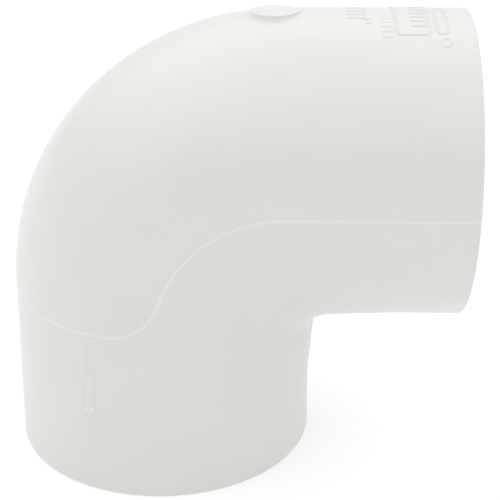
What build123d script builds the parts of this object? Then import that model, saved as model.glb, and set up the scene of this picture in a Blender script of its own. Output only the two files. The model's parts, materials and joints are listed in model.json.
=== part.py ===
"""90 degree slip-by-slip PVC elbow for 1-1/2 inch Schedule 40 pipe.

The origin is the centre of the lower socket's mouth. +Z is up, along the lower leg, and the side
leg points along +X. The fitting stands on the rim of its lower socket.

The real fitting is one moulding. It is divided here at its own features: the bend, the two
sockets, their pipe stops, the gate pad, the mould's parting line and the raised marks. The
pieces meet face to face.
"""

from build123d import *
from math import asin, degrees
import os

os.makedirs("parts", exist_ok=True)

# ---------------------------------------------------------------- driving dimensions, mm
hub_radius = 28.575  # outside of the bend and of both hubs, 2-1/4 inch across
side_mouth_radius = 28.74  # the legs widen a little towards their mouths
lower_mouth_radius = 28.97
rim_round = 0.5

bend_radius = 23.5  # centre line of the bend
laying_length = 28.6  # centre of the elbow to each pipe stop
socket_depth = 28.1
hub_start = 32.5  # centre of the elbow to each socket piece, clear of the inner corner
socket_radius = 24.17  # pipe radius 24.13, plus a sliding fit
waterway_radius = 20.45
lead_in = 0.45  # chamfer at each socket's mouth
stop_thickness = 2.5
stop_radius = 25.4  # the ring is set a little way into the wall around it
stop_round = 0.5

gate_pad_radius = 4.5
gate_pad_x = 21.2
gate_pad_height = 0.42  # above the crest of the bend, at the pad's centre
gate_pad_depth = 3.0  # far enough to reach the fitting all round
gate_pad_slope = (-0.01, 0.04, 1)  # the gate was trimmed slightly askew
gate_pad_edge = 0.25

parting_width = 0.55
parting_height = 0.14
parting_turn = 11.0  # radius where the line leaves the flank to run round the lower leg
parting_drop = 0.25  # from the end of the bend down to the line round the lower leg

mark_height = 0.17
fine_mark_height = 0.1
stroke = 0.7  # width of a raised stroke
clear_above = 1.0  # height above the crest at which the hub's marks are drawn

size_bar_length = 3.5
size_bar_x = 35.9
size_bar_spacing = 1.95
size_bar_count = 5
size_bar_y = 0.75

tick_length = 1.3
tick_x = 37.9
tick_spacing = 1.5
tick_count = 2
tick_y = -4.4

grade_bar_length = 2.1
grade_bar_x = 41.0
grade_bar_spacing = 1.6
grade_bar_count = 5
grade_bar_y = -6.45

badge_x = 45.6
badge_length = 6.5
badge_width = 18.8
badge_corner = 1.4
badge_bar_length = 2.7
badge_bar_x = 46.7
badge_bar_spacing = 1.85
badge_bar_count = 7
badge_bar_y = -0.7

bracket_x = 50.75
bracket_length = 2.6
bracket_width = 12.0
bracket_y = -3.2

ring_x = 51.0
ring_y = -11.2
ring_radius = 1.2

cavity_mark_angle = -25.5  # turned about the lower leg, from the middle of the near flank
cavity_mark_width = 3.0
cavity_mark_length = 10.2
cavity_mark_drop = 12.45  # from the end of the bend to the oval's middle
cavity_rib_width = 0.5
cavity_dot_radius = 0.4
cavity_dot_spacing = 1.45
cavity_dot_lift = 1.6  # above the oval's lowest point

# ---------------------------------------------------------------- derived dimensions and planes
centre_to_face = laying_length + socket_depth
beyond = 2 * centre_to_face  # reaches past the fitting in any direction
elbow_centre = Vector(0, 0, centre_to_face)
bend_centre_height = centre_to_face - bend_radius
bend_axis = Axis((bend_radius, 0, bend_centre_height), (0, -1, 0))
crest_height = centre_to_face + hub_radius

# Both legs are drawn alike: local x runs along the leg, away from the elbow's centre, and
# local y points away from the other leg.
side_leg = Plane(origin=elbow_centre, x_dir=(1, 0, 0), z_dir=(0, -1, 0))
lower_leg = Plane(origin=elbow_centre, x_dir=(0, 0, -1), z_dir=(0, 1, 0))
leg_mouths = [(side_leg, side_mouth_radius), (lower_leg, lower_mouth_radius)]
named_legs = [("side", side_leg), ("lower", lower_leg)]


def across(leg, distance):
    """Plane square across a leg, at a distance from the elbow's centre, facing its mouth."""
    return Plane(origin=leg.origin + leg.x_dir * distance, x_dir=(0, 1, 0), z_dir=leg.x_dir)


# ---------------------------------------------------------------- forms that several pieces share
def elbow_outside(proud=0.0):
    """Everything inside the fitting's outer surface, grown outward by proud."""
    radius = hub_radius + proud
    with BuildPart() as outside:
        # The bend is the part of the hub's circle on the far side of the bend's axis, turned.
        with BuildSketch(across(side_leg, bend_radius)):
            Circle(radius)
            with Locations((0, -bend_radius)):
                Rectangle(beyond, beyond, align=(Align.CENTER, Align.MIN), mode=Mode.INTERSECT)
        revolve(axis=bend_axis, revolution_arc=90)
        # The legs run on past the bend's axis and meet in a mitre at the inner corner.
        for leg, mouth_radius in leg_mouths:
            with BuildSketch(leg) as half_leg:
                with BuildLine():
                    Polyline(
                        (bend_radius, 0),
                        (bend_radius, radius),
                        (centre_to_face, mouth_radius + proud),
                        (centre_to_face, 0),
                        close=True,
                    )
                make_face()
                rim_corner = half_leg.vertices().sort_by_distance((0, 0, 0))[-1]
                fillet(rim_corner, rim_round)
            revolve(axis=Axis(leg.origin, leg.x_dir))
    return outside.part


smooth_outside = elbow_outside()

# ---------------------------------------------------------------- bend
with BuildPart() as bend_body:
    add(smooth_outside)
    with BuildSketch(across(side_leg, bend_radius)):
        Circle(waterway_radius)
    revolve(axis=bend_axis, revolution_arc=90, mode=Mode.SUBTRACT)
    for name, leg in named_legs:
        split(bisect_by=across(leg, hub_start), keep=Keep.BOTTOM)
        with BuildSketch(across(leg, bend_radius)):
            Circle(waterway_radius)
        extrude(amount=laying_length - bend_radius, mode=Mode.SUBTRACT)
        with BuildSketch(across(leg, laying_length - stop_thickness)):
            Circle(stop_radius)
        extrude(amount=stop_thickness, mode=Mode.SUBTRACT)
        with BuildSketch(across(leg, laying_length)):
            Circle(socket_radius)
        extrude(amount=hub_start - laying_length, mode=Mode.SUBTRACT)
bend_body.part.label = "bend_body"
export_step(bend_body.part, "parts/bend_body.step")

# ---------------------------------------------------------------- sockets and pipe stops
for name, leg in named_legs:
    with BuildPart() as socket:
        add(smooth_outside)
        split(bisect_by=across(leg, hub_start), keep=Keep.TOP)
        with BuildSketch(across(leg, hub_start)):
            Circle(socket_radius)
        extrude(amount=centre_to_face - hub_start, mode=Mode.SUBTRACT)
        mouth_face = socket.faces().filter_by(GeomType.PLANE).sort_by_distance(elbow_centre)[-1]
        chamfer(mouth_face.inner_wires().edges(), lead_in)
    socket.part.label = f"{name}_socket"
    export_step(socket.part, f"parts/{name}_socket.step")

    with BuildPart() as pipe_stop:
        with BuildSketch(across(leg, laying_length - stop_thickness)):
            Circle(stop_radius)
            Circle(waterway_radius, mode=Mode.SUBTRACT)
        extrude(amount=stop_thickness)
        stop_face = pipe_stop.faces().filter_by(GeomType.PLANE).sort_by_distance(elbow_centre)[-1]
        fillet(stop_face.inner_wires().edges(), stop_round)
    pipe_stop.part.label = f"{name}_pipe_stop"
    export_step(pipe_stop.part, f"parts/{name}_pipe_stop.step")

# ---------------------------------------------------------------- gate pad
gate_pad_plane = Plane(origin=(gate_pad_x, 0, crest_height + gate_pad_height), z_dir=gate_pad_slope)
with BuildPart() as gate_pad:
    with BuildSketch(gate_pad_plane):
        Circle(gate_pad_radius)
    extrude(amount=-gate_pad_depth)
    chamfer(gate_pad.edges().group_by(Axis.Z)[-1], gate_pad_edge)
    add(smooth_outside, mode=Mode.SUBTRACT)
gate_pad.part.label = "gate_pad"
export_step(gate_pad.part, "parts/gate_pad.step")

# ---------------------------------------------------------------- parting line
# Seen along Y it follows the middle of the side leg, then the bend's centre line, and turns to
# run round the outer side of the lower leg just below the end of the bend.
with BuildPart() as parting_line:
    with BuildSketch(Plane.XZ):
        with BuildLine() as parting_route:
            Line((beyond, centre_to_face), (bend_radius, centre_to_face))
            overrun = degrees(asin(parting_drop / bend_radius))
            bend_line = CenterArc((bend_radius, bend_centre_height), bend_radius, 90, 90 + overrun)
            ring_start = bend_line @ 1
            Line(ring_start, (-beyond, ring_start.Y))
            fillet(parting_route.vertices().sort_by_distance(ring_start)[0], parting_turn)
        trace(line_width=parting_width)
    extrude(amount=beyond, both=True)
    add(elbow_outside(parting_height), mode=Mode.INTERSECT)
    add(smooth_outside, mode=Mode.SUBTRACT)
parting_line.part.label = "parting_line"
export_step(parting_line.part, "parts/parting_line.step")

# ---------------------------------------------------------------- raised marks on the side hub
above_hub = Plane.XY.offset(crest_height + clear_above)
mark_reach = hub_radius / 2
mark_outside = elbow_outside(mark_height)
fine_mark_outside = elbow_outside(fine_mark_height)


def keep_what_stands_proud(amount, proud_outside):
    """Push the sketched mark into the wall, then keep only what is outside the smooth surface."""
    extrude(amount=amount)
    add(proud_outside, mode=Mode.INTERSECT)
    add(smooth_outside, mode=Mode.SUBTRACT)


def export_bar_row(name, proud_outside, middle, length, spacing, count):
    """Make plain bars side by side, each lying along X."""
    with BuildPart() as bars:
        with BuildSketch(above_hub):
            with Locations(middle):
                with GridLocations(0, spacing, 1, count):
                    SlotOverall(length, stroke)
        keep_what_stands_proud(-mark_reach, proud_outside)
    bars.part.label = name
    export_step(bars.part, f"parts/{name}.step")


size_middle = (size_bar_x, size_bar_y)
tick_middle = (tick_x, tick_y)
grade_middle = (grade_bar_x, grade_bar_y)
badge_middle = (badge_bar_x, badge_bar_y)
export_bar_row(
    "size_mark", mark_outside, size_middle, size_bar_length, size_bar_spacing, size_bar_count
)
export_bar_row("size_ticks", mark_outside, tick_middle, tick_length, tick_spacing, tick_count)
export_bar_row(
    "grade_mark", fine_mark_outside, grade_middle, grade_bar_length, grade_bar_spacing, grade_bar_count
)
export_bar_row(
    "badge_bars", mark_outside, badge_middle, badge_bar_length, badge_bar_spacing, badge_bar_count
)

with BuildPart() as badge_frame:
    with BuildSketch(above_hub):
        with Locations((badge_x, 0)):
            RectangleRounded(badge_length, badge_width, badge_corner)
            RectangleRounded(
                badge_length - 2 * stroke,
                badge_width - 2 * stroke,
                badge_corner - stroke,
                mode=Mode.SUBTRACT,
            )
    keep_what_stands_proud(-mark_reach, mark_outside)
badge_frame.part.label = "badge_frame"
export_step(badge_frame.part, "parts/badge_frame.step")

with BuildPart() as bracket_mark:
    with BuildSketch(above_hub):
        with Locations((bracket_x, bracket_y)):
            SlotOverall(bracket_width, bracket_length, rotation=90)
            SlotOverall(
                bracket_width - 2 * stroke, bracket_length - 2 * stroke, rotation=90, mode=Mode.SUBTRACT
            )
    keep_what_stands_proud(-mark_reach, mark_outside)
bracket_mark.part.label = "bracket_mark"
export_step(bracket_mark.part, "parts/bracket_mark.step")

with BuildPart() as ring_mark:
    with BuildSketch(above_hub):
        with Locations((ring_x, ring_y)):
            Circle(ring_radius)
            Circle(ring_radius - stroke / 2, mode=Mode.SUBTRACT)
    keep_what_stands_proud(-mark_reach, fine_mark_outside)
ring_mark.part.label = "ring_mark"
export_step(ring_mark.part, "parts/ring_mark.step")

# ---------------------------------------------------------------- raised mark on the lower hub
# Drawn on a plane inside the leg, with local y up the leg, and pushed out through its wall.
cavity_plane = Plane(
    origin=(0, 0, bend_centre_height),
    x_dir=Vector(1, 0, 0).rotate(Axis.Z, cavity_mark_angle),
    z_dir=Vector(0, -1, 0).rotate(Axis.Z, cavity_mark_angle),
)
with BuildPart() as cavity_mark:
    with BuildSketch(cavity_plane):
        with Locations((0, -cavity_mark_drop)):
            SlotOverall(cavity_mark_length, cavity_mark_width, rotation=90)
            SlotOverall(
                cavity_mark_length - 2 * stroke,
                cavity_mark_width - 2 * stroke,
                rotation=90,
                mode=Mode.SUBTRACT,
            )
        with Locations((0, -cavity_mark_drop - cavity_mark_length / 2 + cavity_dot_lift)):
            with GridLocations(cavity_dot_spacing, 0, 2, 1):
                Circle(cavity_dot_radius)
        rib_top = -parting_drop - parting_width / 2
        rib_length = rib_top + cavity_mark_drop - cavity_mark_length / 2 + stroke / 2
        with Locations((0, rib_top)):
            Rectangle(cavity_rib_width, rib_length, align=(Align.CENTER, Align.MAX))
    keep_what_stands_proud(beyond, fine_mark_outside)
cavity_mark.part.label = "cavity_mark"
export_step(cavity_mark.part, "parts/cavity_mark.step")
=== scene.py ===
import json
import math
from collections import namedtuple

import bmesh
import bpy
from mathutils import Matrix, Vector


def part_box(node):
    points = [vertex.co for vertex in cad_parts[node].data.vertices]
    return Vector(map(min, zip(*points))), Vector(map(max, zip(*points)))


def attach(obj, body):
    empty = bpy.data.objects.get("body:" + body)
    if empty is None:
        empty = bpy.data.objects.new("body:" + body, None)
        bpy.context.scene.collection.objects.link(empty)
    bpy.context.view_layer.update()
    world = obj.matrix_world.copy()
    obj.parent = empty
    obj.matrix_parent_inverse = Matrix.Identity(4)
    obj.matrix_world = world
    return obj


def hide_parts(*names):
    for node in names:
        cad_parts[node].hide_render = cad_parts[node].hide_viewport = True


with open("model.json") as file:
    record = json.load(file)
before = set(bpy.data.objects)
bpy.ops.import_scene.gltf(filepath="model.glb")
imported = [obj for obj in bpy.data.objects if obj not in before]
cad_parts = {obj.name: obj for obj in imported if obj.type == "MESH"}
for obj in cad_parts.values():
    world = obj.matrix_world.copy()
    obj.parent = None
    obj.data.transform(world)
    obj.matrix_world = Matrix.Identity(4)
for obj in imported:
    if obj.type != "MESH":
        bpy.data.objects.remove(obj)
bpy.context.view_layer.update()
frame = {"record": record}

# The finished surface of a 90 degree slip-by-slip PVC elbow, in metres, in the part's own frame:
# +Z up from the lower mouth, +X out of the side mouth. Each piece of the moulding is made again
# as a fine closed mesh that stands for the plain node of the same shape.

mm = 0.001

# ---------------------------------------------------------------- sizes that the frame gives
mounts = {mount["name"]: mount for mount in frame["record"]["mounts"]}
centre_to_face = mounts["side_socket"]["pos_m"][0]
socket_radius = mounts["side_socket"]["dims"]["r_mm"] * mm
side_mouth_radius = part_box("side_socket")[1].y
lower_mouth_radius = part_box("lower_socket")[1].y
hub_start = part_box("side_socket")[0].x
stop_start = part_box("side_pipe_stop")[0].x
laying_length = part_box("side_pipe_stop")[1].x
stop_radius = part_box("side_pipe_stop")[1].y
elbow_centre = Vector((0, 0, centre_to_face))

# ---------------------------------------------------------------- sizes that it doesn't
hub_radius = 28.575 * mm
bend_radius = 23.5 * mm
waterway_radius = 20.45 * mm
rim_round = 0.5 * mm
lead_in = 0.45 * mm
stop_round = 0.5 * mm

# The inner corner is rounded. The rounding is full within one angle of the corner's middle, seen
# round either leg, and has faded out by the other.
corner_begins = 32.0 * mm
corner_core = math.radians(22)
corner_edge = math.radians(60)

# Both legs swell a little towards the inner corner.
side_flare = 0.78 * mm
lower_flare = 1.55 * mm
flare_reach = 17.0 * mm
flare_curve = 1.25

# ---------------------------------------------------------------- fineness of the meshes
around_steps = 240
turn_steps = 60
round_steps = 6

# An edge is shown sharp where its faces turn by more than this many degrees.
plain_crease = 32
mark_crease = 60

across_fitting = Vector((0, 1, 0))
Leg = namedtuple("Leg", "along outward mouth_radius flare")
side_leg = Leg(Vector((1, 0, 0)), Vector((0, 0, 1)), side_mouth_radius, side_flare)
lower_leg = Leg(Vector((0, 0, -1)), Vector((-1, 0, 0)), lower_mouth_radius, lower_flare)


# ---------------------------------------------------------------- small helpers
def mix(start, end, part):
    return start + (end - start) * part


def steps(count):
    """count + 1 even parts from 0 to 1."""
    return [step / count for step in range(count + 1)]


def smooth_step(part):
    part = min(max(part, 0.0), 1.0)
    return part * part * (3 - 2 * part)


def quarter_turn(count):
    """Sine and cosine at even steps over 90 degrees."""
    return [(math.sin(part * math.pi / 2), math.cos(part * math.pi / 2)) for part in steps(count)]


def make_piece(name, points, faces, materials, replaced, crease=plain_crease):
    """Closed mesh object that stands for a node of the frame."""
    mesh = bpy.data.meshes.new(name)
    mesh.from_pydata([tuple(point) for point in points], [], faces)
    tidy = bmesh.new()
    tidy.from_mesh(mesh)
    bmesh.ops.recalc_face_normals(tidy, faces=tidy.faces)
    tidy.to_mesh(mesh)
    tidy.free()
    mesh.shade_smooth()
    mesh.set_sharp_from_angle(angle=math.radians(crease))
    for material in materials:
        mesh.materials.append(material)
    piece = bpy.data.objects.new(name, mesh)
    bpy.context.scene.collection.objects.link(piece)
    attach(piece, "root")
    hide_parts(replaced)
    return piece


def ring_faces(rings, closed):
    """Quads between neighbouring rings of equal length, each ring being a closed loop."""
    count = len(rings[0])
    faces = []
    for row in range(len(rings) if closed else len(rings) - 1):
        here = row * count
        there = (row + 1) % len(rings) * count
        for step in range(count):
            after = (step + 1) % count
            faces.append((here + step, here + after, there + after, there + step))
    return faces


# ---------------------------------------------------------------- the elbow's surfaces
def leg_point(leg, distance, radius, angle):
    """Point round a leg. Angle 0 is its outer side, and half a turn its inner side."""
    spoke = leg.outward * math.cos(angle) + across_fitting * math.sin(angle)
    return elbow_centre + leg.along * distance + spoke * radius


def leg_ring(leg, distance, radius):
    turn = 2 * math.pi / around_steps
    return [leg_point(leg, distance, radius, turn * step) for step in range(around_steps)]


def skin_rise(leg, distance, angle):
    """How far a leg's skin stands beyond the hub radius: its taper, and its swelling inside."""
    taper = (leg.mouth_radius - hub_radius) * (distance - bend_radius) / (centre_to_face - bend_radius)
    fading = max(0.0, 1 - (distance - hub_radius) / flare_reach)
    inside = max(0.0, -math.cos(angle))
    return max(0.0, taper) + leg.flare * min(fading, 1.0) ** flare_curve * inside**2


def skin_ring(leg, distance, inset=0.0):
    ring = []
    for step in range(around_steps):
        angle = 2 * math.pi * step / around_steps
        radius = hub_radius + skin_rise(leg, distance, angle) - inset
        ring.append(leg_point(leg, distance, radius, angle))
    return ring


def turn_of(angle):
    """Where the skin's turn begins along a leg at this angle round it, and the turn's radius."""
    inside = -math.cos(angle)
    full = (inside - math.cos(corner_edge)) / (math.cos(corner_core) - math.cos(corner_edge))
    begins = mix(bend_radius, corner_begins, smooth_step(full))
    return begins, begins - hub_radius * inside


def outward_at(turn):
    """Outward direction part of the way round the bend, from the side leg's to the lower leg's."""
    return side_leg.outward * math.cos(turn) + lower_leg.outward * math.sin(turn)


def bend_point(turn, angle):
    """Point of the bend's skin, turned round from the side leg, at an angle round the leg."""
    begins, radius = turn_of(angle)
    side_rise = skin_rise(side_leg, begins, angle)
    lower_rise = skin_rise(lower_leg, begins, angle)
    rise = mix(side_rise, lower_rise, turn / (math.pi / 2))
    outward = outward_at(turn)
    centre = elbow_centre + (side_leg.along + lower_leg.along) * begins
    width = across_fitting * (hub_radius + rise) * math.sin(angle)
    return centre + outward * (radius + rise * math.cos(angle)) + width


def bend_lead_ring(leg, part):
    """Ring of the skin between the hub and the start of the turn."""
    ring = []
    for step in range(around_steps):
        angle = 2 * math.pi * step / around_steps
        distance = mix(hub_start, turn_of(angle)[0], part)
        radius = hub_radius + skin_rise(leg, distance, angle)
        ring.append(leg_point(leg, distance, radius, angle))
    return ring


def bend_ring(turn):
    step_angle = 2 * math.pi / around_steps
    return [bend_point(turn, step_angle * step) for step in range(around_steps)]


def waterway_ring(turn):
    ring = []
    outward = outward_at(turn)
    centre = elbow_centre + (side_leg.along + lower_leg.along) * bend_radius + outward * bend_radius
    for step in range(around_steps):
        angle = 2 * math.pi * step / around_steps
        spoke = outward * math.cos(angle) + across_fitting * math.sin(angle)
        ring.append(centre + spoke * waterway_radius)
    return ring


def pocket_rings(leg):
    """From the hub's face inwards: the bore's first stretch and the pocket for the pipe stop."""
    return [
        leg_ring(leg, hub_start, socket_radius),
        leg_ring(leg, laying_length, socket_radius),
        leg_ring(leg, laying_length, stop_radius),
        leg_ring(leg, stop_start, stop_radius),
        leg_ring(leg, stop_start, waterway_radius),
    ]


# ---------------------------------------------------------------- raised strokes on the skin
def stroke_section(reach, width, height, softness, section_steps=14):
    """Outline of a raised stroke, as (across, up) pairs, scaled down by reach.

    Softness is how much of each half width is slope: at 1 the stroke is a plain swelling.
    """
    sink = 0.12 * mm
    section = [(-width / 2 * reach, -sink)]
    for part in steps(section_steps):
        across = 2 * part - 1
        rise = smooth_step((1 - abs(across)) / softness)
        section.append((across * width / 2 * reach, rise * height * reach))
    section.append((width / 2 * reach, -sink))
    return section


def stroke_mesh(route, width, height, closed, softness=0.7):
    """Points and faces of a raised stroke. The route holds (point, normal, reach) stations."""
    rings = []
    for place, (point, normal, reach) in enumerate(route):
        if closed:
            before = route[place - 1][0]
            after = route[(place + 1) % len(route)][0]
        else:
            before = route[max(place - 1, 0)][0]
            after = route[min(place + 1, len(route) - 1)][0]
        side = (after - before).cross(normal).normalized()
        section = stroke_section(reach, width, height, softness)
        rings.append([point + side * across + normal * up for across, up in section])
    points = [point for ring in rings for point in ring]
    faces = ring_faces(rings, closed)
    if not closed:
        count = len(rings[0])
        faces.append(tuple(range(count)))
        faces.append(tuple(len(points) - count + step for step in range(count)))
    return points, faces


def join_strokes(strokes):
    """Several strokes' points and faces as one."""
    points = []
    faces = []
    for stroke_points, stroke_faces in strokes:
        faces += [tuple(len(points) + index for index in face) for face in stroke_faces]
        points += stroke_points
    return points, faces


def bar_stations(length, width):
    """Places along a bar from its middle, with how full its section is there: its ends are round."""
    ends = [(1 - cosine, sine) for sine, cosine in quarter_turn(round_steps)][1:]
    middle_parts = (0.35, 0.5, 0.65)
    half = length / 2
    stations = [(-half + width / 2 * inset, reach) for inset, reach in ends]
    stations += [(mix(-half, half, part), 1.0) for part in middle_parts]
    stations += [(half - width / 2 * inset, reach) for inset, reach in reversed(ends)]
    return stations


def rounded_outline(length, width, corner):
    """Middle line of a rounded rectangle, as points from its centre, spaced for a bent surface."""
    corner_steps = 8
    longest = 0.8 * mm
    outline = []
    corners = [(1, 1, 0), (-1, 1, 90), (-1, -1, 180), (1, -1, 270)]
    for right, up, start in corners:
        for part in steps(corner_steps):
            turn = math.radians(start + 90 * part)
            outline.append(
                (
                    right * (length / 2 - corner) + corner * math.cos(turn),
                    up * (width / 2 - corner) + corner * math.sin(turn),
                )
            )
    filled = []
    for place, here in enumerate(outline):
        there = outline[(place + 1) % len(outline)]
        gap = math.dist(here, there)
        pieces = max(1, math.ceil(gap / longest))
        for piece in range(pieces):
            part = piece / pieces
            filled.append((mix(here[0], there[0], part), mix(here[1], there[1], part)))
    return filled


def on_hub_top(x, y):
    """Point and normal of the side hub's skin, straight above a place in plan."""
    radius = hub_radius + skin_rise(side_leg, x, 0.0)
    normal = Vector((0, y, math.sqrt(radius**2 - y**2))).normalized()
    return Vector((x, 0, centre_to_face)) + normal * radius, normal


def top_bar(x, y, length, width, height):
    stations = bar_stations(length, width)
    route = [(*on_hub_top(x + along, y), reach) for along, reach in stations]
    return stroke_mesh(route, width, height, closed=False)


def top_outline(centre, outline, width, height):
    route = [(*on_hub_top(centre.x + x, centre.y + y), 1.0) for x, y in outline]
    return stroke_mesh(route, width, height, closed=True)


# ---------------------------------------------------------------- materials
def noise(nodes, links, coordinates, scale, detail, stretch=(1, 1, 1), roughness=0.5):
    """Noise laid through the part's own space, at a scale in features per metre."""
    mapping = nodes.new("ShaderNodeMapping")
    mapping.inputs["Scale"].default_value = stretch
    links.new(coordinates, mapping.inputs["Vector"])
    pattern = nodes.new("ShaderNodeTexNoise")
    pattern.inputs["Scale"].default_value = scale
    pattern.inputs["Detail"].default_value = detail
    pattern.inputs["Roughness"].default_value = roughness
    links.new(mapping.outputs["Vector"], pattern.inputs["Vector"])
    return pattern.outputs["Fac"]


def ramp(nodes, links, factor, low, high, start=0.0, end=1.0):
    """Straight change from low to high as the factor goes from start to end."""
    node = nodes.new("ShaderNodeMapRange")
    node.inputs["From Min"].default_value = start
    node.inputs["From Max"].default_value = end
    node.inputs["To Min"].default_value = low
    node.inputs["To Max"].default_value = high
    links.new(factor, node.inputs["Value"])
    return node.outputs["Result"]


def blend_colours(nodes, links, factor, first, second):
    node = nodes.new("ShaderNodeMix")
    node.data_type = "RGBA"
    links.new(factor, node.inputs["Factor"])
    for socket, colour in (("A", first), ("B", second)):
        target = [entry for entry in node.inputs if entry.name == socket and entry.type == "RGBA"][0]
        if isinstance(colour, tuple):
            target.default_value = (*colour, 1)
        else:
            links.new(colour, target)
    return [entry for entry in node.outputs if entry.type == "RGBA"][0]


def combine(nodes, links, operation, first, second):
    node = nodes.new("ShaderNodeMath")
    node.operation = operation
    links.new(first, node.inputs[0])
    links.new(second, node.inputs[1])
    return node.outputs["Value"]


def bump(nodes, links, height, depth, before=None):
    """Relief of a given depth in metres, on top of an earlier one."""
    node = nodes.new("ShaderNodeBump")
    node.inputs["Strength"].default_value = 1.0
    node.inputs["Distance"].default_value = depth
    links.new(height, node.inputs["Height"])
    if before:
        links.new(before, node.inputs["Normal"])
    return node.outputs["Normal"]


def pvc(name, pale, deep, gloss, peel_depth, grain_depth, worn_rims=False):
    """Moulded white PVC: faint clouding and flow streaks, orange peel, and a fine satin grain."""
    material = bpy.data.materials.new(name)
    material.use_nodes = True
    nodes = material.node_tree.nodes
    links = material.node_tree.links
    shader = nodes["Principled BSDF"]
    shader.inputs["IOR"].default_value = 1.53
    shader.inputs["Subsurface Weight"].default_value = 0.0
    coordinates = nodes.new("ShaderNodeTexCoord").outputs["Object"]

    cloud = noise(nodes, links, coordinates, scale=70, detail=3)
    flow = noise(nodes, links, coordinates, scale=110, detail=4, stretch=(0.35, 1.6, 0.35))
    tone = combine(nodes, links, "MULTIPLY", cloud, flow)
    tone = ramp(nodes, links, tone, 0.0, 1.0, start=0.12, end=0.38)
    colour = blend_colours(nodes, links, tone, deep, pale)

    scuff = noise(nodes, links, coordinates, scale=900, detail=5, roughness=0.62)
    low_gloss, high_gloss = gloss
    roughness = ramp(nodes, links, scuff, low_gloss, high_gloss, start=0.3, end=0.7)

    peel = noise(nodes, links, coordinates, scale=330, detail=2)
    grain = noise(nodes, links, coordinates, scale=3800, detail=3)
    relief = bump(nodes, links, peel, peel_depth)
    relief = bump(nodes, links, grain, grain_depth, before=relief)

    if worn_rims:
        worn_colour = (0.600, 0.602, 0.580)
        lost_gloss = 0.25
        worn = rim_wear(nodes, links, coordinates)
        colour = blend_colours(nodes, links, worn, colour, worn_colour)
        rubbed = nodes.new("ShaderNodeMath")
        rubbed.operation = "MULTIPLY_ADD"
        rubbed.inputs[1].default_value = lost_gloss
        links.new(worn, rubbed.inputs[0])
        links.new(roughness, rubbed.inputs[2])
        roughness = rubbed.outputs["Value"]

    links.new(colour, shader.inputs["Base Color"])
    links.new(roughness, shader.inputs["Roughness"])
    links.new(relief, shader.inputs["Normal"])
    return material


def rim_wear(nodes, links, coordinates):
    """Small rubbed spots within a millimetre or so of either mouth's edge."""
    band = 1.6 * mm
    parts = nodes.new("ShaderNodeSeparateXYZ")
    links.new(coordinates, parts.inputs["Vector"])
    x = parts.outputs["X"]
    z = parts.outputs["Z"]
    near_side = ramp(nodes, links, x, 0.0, 1.0, start=centre_to_face - band, end=centre_to_face)
    near_floor = ramp(nodes, links, z, 1.0, 0.0, start=0.0, end=band)
    near_edge = combine(nodes, links, "MAXIMUM", near_side, near_floor)
    spots = noise(nodes, links, coordinates, scale=420, detail=4, roughness=0.7)
    spots = ramp(nodes, links, spots, 0.0, 0.6, start=0.54, end=0.72)
    return combine(nodes, links, "MULTIPLY", near_edge, spots)


skin_pvc = pvc(
    "pvc_moulded_skin",
    pale=(0.705, 0.709, 0.684),
    deep=(0.690, 0.694, 0.668),
    gloss=(0.30, 0.40),
    peel_depth=0.012 * mm,
    grain_depth=0.0012 * mm,
    worn_rims=True,
)
bore_pvc = pvc(
    "pvc_moulded_bore",
    pale=(0.690, 0.693, 0.670),
    deep=(0.668, 0.671, 0.645),
    gloss=(0.38, 0.50),
    peel_depth=0.02 * mm,
    grain_depth=0.003 * mm,
)
cut_pvc = pvc(
    "pvc_cut_gate",
    pale=(0.715, 0.718, 0.694),
    deep=(0.680, 0.683, 0.660),
    gloss=(0.45, 0.62),
    peel_depth=0.05 * mm,
    grain_depth=0.006 * mm,
)
# Paler PVC that paints light on: a painted highlight along the parting ridge and on the cavity mark's
# dots, and painted light that lifts the shade on the gate pad's root wall.
pale_painted_light_pvc = pvc(
    "pvc_pale_painted_light",
    pale=(0.755, 0.759, 0.733),
    deep=(0.738, 0.742, 0.716),
    gloss=(0.30, 0.42),
    peel_depth=0.006 * mm,
    grain_depth=0.0012 * mm,
)
mark_pvc = pvc(
    "pvc_raised_marks",
    pale=(0.700, 0.703, 0.680),
    deep=(0.680, 0.683, 0.660),
    gloss=(0.28, 0.38),
    peel_depth=0.006 * mm,
    grain_depth=0.0012 * mm,
)


# ---------------------------------------------------------------- bend
def make_bend():
    lead_steps = 4
    rings = [bend_lead_ring(side_leg, part) for part in steps(lead_steps)]
    rings += [bend_ring(part * math.pi / 2) for part in steps(turn_steps)][1:-1]
    rings += [bend_lead_ring(lower_leg, 1 - part) for part in steps(lead_steps)]
    skin_rows = len(rings) - 1
    rings += pocket_rings(lower_leg)
    rings += [waterway_ring((1 - part) * math.pi / 2) for part in steps(turn_steps)]
    rings += reversed(pocket_rings(side_leg))
    points = [point for ring in rings for point in ring]
    bend = make_piece("moulded_bend", points, ring_faces(rings, True), [skin_pvc, bore_pvc], "bend_body")
    for face in bend.data.polygons:
        face.material_index = 0 if face.index < skin_rows * around_steps else 1


# ---------------------------------------------------------------- sockets and pipe stops
def make_socket(name, leg):
    flare_steps = 10
    plain_steps = 6
    bore_steps = 8
    flare_end = hub_radius + flare_reach
    rim_start = centre_to_face - rim_round
    bore_start = centre_to_face - lead_in
    flared = [mix(hub_start, flare_end, part) for part in steps(flare_steps)]
    plain = [mix(flare_end, rim_start, part) for part in steps(plain_steps)][1:]
    bore = [mix(bore_start, hub_start, part) for part in steps(bore_steps)]
    rings = [skin_ring(leg, distance) for distance in flared + plain]
    for sine, cosine in quarter_turn(round_steps)[1:]:
        rings.append(skin_ring(leg, rim_start + rim_round * sine, rim_round * (1 - cosine)))
    skin_rows = len(rings)
    rings.append(leg_ring(leg, centre_to_face, socket_radius + lead_in))
    rings += [leg_ring(leg, distance, socket_radius) for distance in bore]
    points = [point for ring in rings for point in ring]
    materials = [skin_pvc, bore_pvc]
    socket = make_piece(f"moulded_{name}", points, ring_faces(rings, True), materials, name)
    for face in socket.data.polygons:
        face.material_index = 0 if face.index < skin_rows * around_steps else 1


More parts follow.
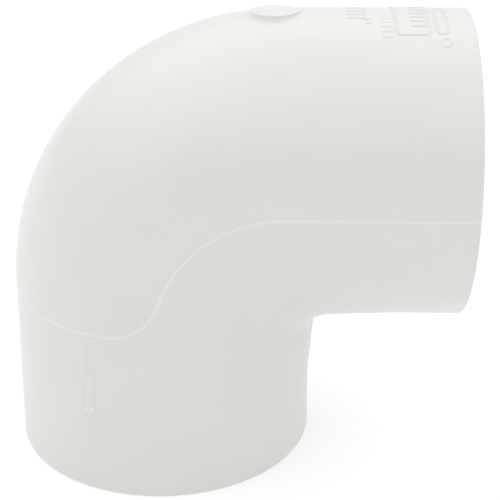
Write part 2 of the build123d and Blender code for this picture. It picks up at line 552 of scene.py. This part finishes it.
def make_pipe_stop(name, leg):
    corner_distance = laying_length - stop_round
    rings = [leg_ring(leg, stop_start, waterway_radius)]
    for sine, cosine in quarter_turn(round_steps):
        radius = waterway_radius + stop_round * (1 - cosine)
        rings.append(leg_ring(leg, corner_distance + stop_round * sine, radius))
    rings.append(leg_ring(leg, laying_length, stop_radius))
    rings.append(leg_ring(leg, stop_start, stop_radius))
    points = [point for ring in rings for point in ring]
    make_piece(f"moulded_{name}", points, ring_faces(rings, True), [bore_pvc], name)


# ---------------------------------------------------------------- gate pad
def top_height(x, y):
    """Height of the skin straight above a place in plan, over the bend or the side leg."""
    radius = hub_radius + skin_rise(side_leg, x, 0.0)
    height = math.sqrt(radius**2 - y**2)
    if x >= bend_radius:
        return centre_to_face + height
    bend_low = centre_to_face - bend_radius
    return bend_low + math.sqrt((bend_radius + height) ** 2 - (bend_radius - x) ** 2)


def make_gate_pad():
    """Low disc on a soft root, where the moulding was cut from its runner.

    The cut left its face a little askew and dished.
    """
    low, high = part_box("gate_pad")
    radius = (high.y - low.y) / 2
    face_rise = 0.42 * mm
    askew = (-0.01, 0.04)
    dish = 0.04 * mm
    edge = 0.18 * mm
    root = 0.75 * mm
    buried_depth = 0.3 * mm
    count = 120
    edge_steps = 4
    root_steps = 8
    skin_rows = 5
    face_parts = [0.97, 0.85, 0.65, 0.45, 0.25, 0.1]

    normal = Vector((*askew, 1)).normalized()
    along = across_fitting.cross(normal).normalized()
    aside = normal.cross(along)
    face_height = centre_to_face + hub_radius + face_rise
    face_centre = Vector(((low.x + high.x) / 2, 0, face_height))
    spokes = [
        along * math.cos(2 * math.pi * step / count) + aside * math.sin(2 * math.pi * step / count)
        for step in range(count)
    ]
    buried = []
    root_rings = [[] for part in steps(root_steps)]
    for spoke in spokes:
        brink = face_centre + spoke * radius - normal * edge
        foot = brink + Vector((spoke.x, spoke.y, 0)).normalized() * root
        foot.z = top_height(foot.x, foot.y)
        heel = Vector((brink.x, brink.y, min(brink.z, top_height(brink.x, brink.y))))
        buried.append(foot - Vector((0, 0, buried_depth)))
        for ring, part in zip(root_rings, steps(root_steps)):
            ring.append(foot.lerp(heel, part).lerp(heel.lerp(brink, part), part))
    rings = [buried] + root_rings
    for sine, cosine in quarter_turn(edge_steps)[1:]:
        reach = radius - edge * (1 - cosine)
        rings.append([face_centre + spoke * reach - normal * edge * (1 - sine) for spoke in spokes])
    for part in face_parts:
        drop = normal * dish * (1 - part**2)
        rings.append([face_centre + spoke * (radius - edge) * part - drop for spoke in spokes])
    points = [point for ring in rings for point in ring]
    faces = ring_faces(rings, False)
    faces.append(tuple(range(count)))
    faces.append(tuple(len(points) - count + step for step in range(count)))
    pad = make_piece("trimmed_gate_pad", points, faces, [skin_pvc, pale_painted_light_pvc, cut_pvc], "gate_pad")
    for face in pad.data.polygons:
        row = face.index // count
        if row < skin_rows:
            face.material_index = 0
        # The root's upper wall takes the paler PVC: painted light that lifts the shade on the pad's side
        # wall.
        elif row < len(root_rings):
            face.material_index = 1
        else:
            face.material_index = 2


# ---------------------------------------------------------------- parting line
def make_parting_line():
    """Fine ridge where the mould's halves met, along both flanks and round the lower leg."""
    width = 0.6 * mm
    height = 0.11 * mm
    turn_radius = 11.0 * mm
    ring_drop = 0.25 * mm
    leg_steps = 24
    bend_steps = 40
    small_turn_steps = 20
    ring_steps = 48
    # The ridge is fainter over the side mouth's edge and round the outside of the lower leg.
    rim_reach = 0.15
    outer_reach = 0.55
    fade_start = math.radians(40)

    bend_low = centre_to_face - bend_radius
    ring_low = bend_low - ring_drop
    # The small turn touches the ring from above and the bend's own line from outside.
    turn_rise = turn_radius - ring_drop
    turn_across = bend_radius - math.sqrt((bend_radius + turn_radius) ** 2 - turn_rise**2)
    meeting = math.atan2(bend_radius - turn_across, turn_rise)

    half = []
    rim_start = centre_to_face - rim_round
    for sine, cosine in reversed(quarter_turn(round_steps)):
        reach = hub_radius + skin_rise(side_leg, rim_start, math.pi / 2) - rim_round * (1 - cosine)
        point = Vector((rim_start + rim_round * sine, -reach, centre_to_face))
        half.append((point, Vector((sine, -cosine, 0)), mix(rim_reach, 1.0, cosine)))
    for part in steps(leg_steps)[1:]:
        distance = mix(rim_start, bend_radius, part)
        reach = hub_radius + skin_rise(side_leg, distance, math.pi / 2)
        half.append((Vector((distance, -reach, centre_to_face)), Vector((0, -1, 0)), 1.0))
    for part in steps(bend_steps)[1:]:
        turn = meeting * part
        x = bend_radius * (1 - math.sin(turn))
        z = bend_low + bend_radius * math.cos(turn)
        half.append((Vector((x, -hub_radius, z)), Vector((0, -1, 0)), 1.0))
    for part in steps(small_turn_steps)[1:]:
        turn = meeting * (1 - part)
        x = turn_across + turn_radius * math.sin(turn)
        z = ring_low + turn_radius * (1 - math.cos(turn))
        spoke = Vector((x - bend_radius, 0, z - bend_low))
        offset = spoke.length - bend_radius
        spoke.normalize()
        flank = math.sqrt(hub_radius**2 - offset**2)
        normal = (spoke * offset + Vector((0, -flank, 0))).normalized()
        half.append((Vector((x, -flank, z)), normal, 1.0))
    start = math.asin(-turn_across / hub_radius)
    for part in steps(ring_steps)[1:]:
        around = mix(start, math.pi / 2, part)
        normal = Vector((-math.sin(around), -math.cos(around), 0))
        faded = smooth_step((around - fade_start) / (math.pi / 2 - fade_start))
        point = normal * hub_radius + Vector((0, 0, ring_low))
        half.append((point, normal, mix(1.0, outer_reach, faded)))

    mirror = Vector((1, -1, 1))
    far_half = [(point * mirror, normal * mirror, reach) for point, normal, reach in reversed(half[:-1])]
    points, faces = stroke_mesh(half + far_half, width, height, closed=False, softness=1.0)
    # The ridge takes the paler PVC: a painted highlight along the parting line.
    make_piece("parting_ridge", points, faces, [pale_painted_light_pvc], "parting_line", crease=mark_crease)


# ---------------------------------------------------------------- raised marks
stroke_width = 0.7 * mm
tall_mark = 0.17 * mm
fine_mark = 0.1 * mm


def make_bar_row(name, node, count, height):
    """Plain bars side by side, filling the node's place in plan."""
    low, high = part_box(node)
    middle = (low + high) / 2
    first = low.y + stroke_width / 2
    last = high.y - stroke_width / 2
    length = high.x - low.x
    bars = [
        top_bar(middle.x, mix(first, last, part), length, stroke_width, height)
        for part in steps(count - 1)
    ]
    points, faces = join_strokes(bars)
    make_piece(name, points, faces, [mark_pvc], node, crease=mark_crease)


def make_top_frame(name, node, corner, width, height):
    """Outline with rounded corners, filling the node's place in plan."""
    low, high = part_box(node)
    middle = (low + high) / 2
    outline = rounded_outline(high.x - low.x - width, high.y - low.y - width, corner - width / 2)
    points, faces = top_outline(middle, outline, width, height)
    make_piece(name, points, faces, [mark_pvc], node, crease=mark_crease)


def make_cavity_mark():
    """Raised oval with two dots in it, low on the near flank, hung from the parting line."""
    low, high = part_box("cavity_mark")
    angle_round = math.radians(-25.5)
    turned = Matrix.Rotation(angle_round, 3, "Z")
    sideways = turned @ Vector((1, 0, 0))
    facing = turned @ Vector((0, -1, 0))
    oval_length = 10.2 * mm
    oval_width = 3.0 * mm
    oval_middle = low.z + oval_length / 2
    rib_width = 0.5 * mm
    rib_rise = 0.06 * mm
    dot_radius = 0.55 * mm
    dot_rise = 0.15 * mm
    dot_offset = 0.72 * mm
    dot_height = low.z + 1.6 * mm
    dot_sides = 24
    dot_steps = 8

    def on_hub(across, height):
        distance = centre_to_face - height
        radius = hub_radius + skin_rise(lower_leg, distance, 0.0)
        normal = (sideways * across + facing * math.sqrt(radius**2 - across**2)).normalized()
        return normal * radius + Vector((0, 0, height)), normal

    def dot(across, height):
        centre, normal = on_hub(across, height)
        aside = Vector((0, 0, 1)).cross(normal).normalized()
        turns = [2 * math.pi * step / dot_sides for step in range(dot_sides)]
        spokes = [aside * math.cos(turn) + Vector((0, 0, math.sin(turn))) for turn in turns]
        rings = [[centre + spoke * dot_radius - normal * fine_mark for spoke in spokes]]
        for part in steps(dot_steps)[:-1]:
            summit = centre + normal * dot_rise * smooth_step(part)
            rings.append([summit + spoke * dot_radius * (1 - part) for spoke in spokes])
        points = [point for ring in rings for point in ring]
        faces = ring_faces(rings, False)
        faces.append(tuple(range(dot_sides)))
        faces.append(tuple(len(points) - dot_sides + step for step in range(dot_sides)))
        return points, faces

    outline = rounded_outline(
        oval_width - stroke_width, oval_length - stroke_width, (oval_width - stroke_width) / 2
    )
    oval = [(*on_hub(across, oval_middle + up), 1.0) for across, up in outline]
    rib_low = oval_middle + oval_length / 2 - stroke_width / 2
    rib_middle = (rib_low + high.z) / 2
    rib = [
        (*on_hub(0.0, rib_middle + along), reach)
        for along, reach in bar_stations(high.z - rib_low, rib_width)
    ]
    strokes = [
        stroke_mesh(oval, stroke_width, fine_mark, closed=True, softness=1.0),
        stroke_mesh(rib, rib_width, rib_rise, closed=False, softness=1.0),
    ]
    stroke_faces = sum(len(faces) for points, faces in strokes)
    strokes += [dot(across, dot_height) for across in (-dot_offset, dot_offset)]
    points, faces = join_strokes(strokes)
    # The two dots take the paler PVC: a painted highlight on them.
    materials = [mark_pvc, pale_painted_light_pvc]
    mark = make_piece("cavity_oval", points, faces, materials, "cavity_mark", crease=mark_crease)
    for face in mark.data.polygons:
        face.material_index = 0 if face.index < stroke_faces else 1


# ---------------------------------------------------------------- camera, light and floor
def make_camera():
    data = bpy.data.cameras.new("camera")
    data.sensor_width = 36
    data.lens = 97.51
    camera = bpy.data.objects.new("camera", data)
    bpy.context.scene.collection.objects.link(camera)
    bpy.context.scene.camera = camera
    turn = math.radians(0.267)
    lift = math.radians(25.155)
    roll = math.radians(0.301)
    distance = 264.6 * mm
    back = Vector((math.sin(turn) * math.cos(lift), -math.cos(turn) * math.cos(lift), math.sin(lift)))
    right = Vector((math.cos(turn), math.sin(turn), 0))
    up = back.cross(right)
    rolled_right = right * math.cos(roll) + up * math.sin(roll)
    rolled_up = up * math.cos(roll) - right * math.sin(roll)
    aim = elbow_centre + Vector((17.03, 0, -18.85)) * mm
    axes = Matrix((rolled_right, rolled_up, back)).transposed()
    camera.matrix_world = Matrix.Translation(aim + back * distance) @ axes.to_4x4()


def soft_light(name, energy, spread, lean):
    """Broad lamp straight above, leaned by (forward, left) degrees."""
    data = bpy.data.lights.new(name, "SUN")
    data.energy = energy
    data.angle = math.radians(spread)
    lamp = bpy.data.objects.new(name, data)
    forward, left = lean
    lamp.rotation_euler = (math.radians(forward), math.radians(-left), 0)
    bpy.context.scene.collection.objects.link(lamp)


def make_light():
    world = bpy.data.worlds.new("soft_white_room")
    world.use_nodes = True
    background = world.node_tree.nodes["Background"]
    background.inputs["Color"].default_value = (1, 1, 1, 1)
    background.inputs["Strength"].default_value = 0.5
    bpy.context.scene.world = world
    soft_light("overhead_softbox", energy=1.63, spread=120, lean=(0, 0))
    soft_light("left_softbox", energy=0.50, spread=90, lean=(0, 60))
    soft_light("right_softbox", energy=0.42, spread=90, lean=(0, -60))
    soft_light("rear_softbox", energy=0.45, spread=90, lean=(-60, 0))


def make_floor():
    """Pale sweep, lit a little from below so that the fitting casts almost no shadow on it."""
    mesh = bpy.data.meshes.new("floor")
    reach = 3.0
    corners = [(-reach, -reach, 0), (reach, -reach, 0), (reach, reach, 0), (-reach, reach, 0)]
    mesh.from_pydata(corners, [], [(0, 1, 2, 3)])
    floor = bpy.data.objects.new("floor", mesh)
    bpy.context.scene.collection.objects.link(floor)
    material = bpy.data.materials.new("pale_floor")
    material.use_nodes = True
    shader = material.node_tree.nodes["Principled BSDF"]
    shader.inputs["Base Color"].default_value = (0.5, 0.5, 0.5, 1)
    shader.inputs["Roughness"].default_value = 0.9
    shader.inputs["Specular IOR Level"].default_value = 0.0
    shader.inputs["Emission Color"].default_value = (1, 1, 1, 1)
    shader.inputs["Emission Strength"].default_value = 0.52
    mesh.materials.append(material)


make_bend()
make_socket("side_socket", side_leg)
make_socket("lower_socket", lower_leg)
make_pipe_stop("side_pipe_stop", side_leg)
make_pipe_stop("lower_pipe_stop", lower_leg)
make_gate_pad()
make_parting_line()
make_bar_row("size_bars", "size_mark", count=5, height=tall_mark)
make_bar_row("size_tick_bars", "size_ticks", count=2, height=tall_mark)
make_bar_row("grade_bars", "grade_mark", count=5, height=fine_mark)
make_top_frame("badge_outline", "badge_frame", corner=1.4 * mm, width=stroke_width, height=tall_mark)
make_bar_row("badge_strokes", "badge_bars", count=7, height=tall_mark)
make_top_frame("bracket_outline", "bracket_mark", corner=1.3 * mm, width=stroke_width, height=tall_mark)
make_top_frame("ring_outline", "ring_mark", corner=1.2 * mm, width=stroke_width / 2, height=fine_mark)
make_cavity_mark()
make_camera()
make_light()
make_floor()
bpy.context.scene.view_settings.view_transform = "Standard"
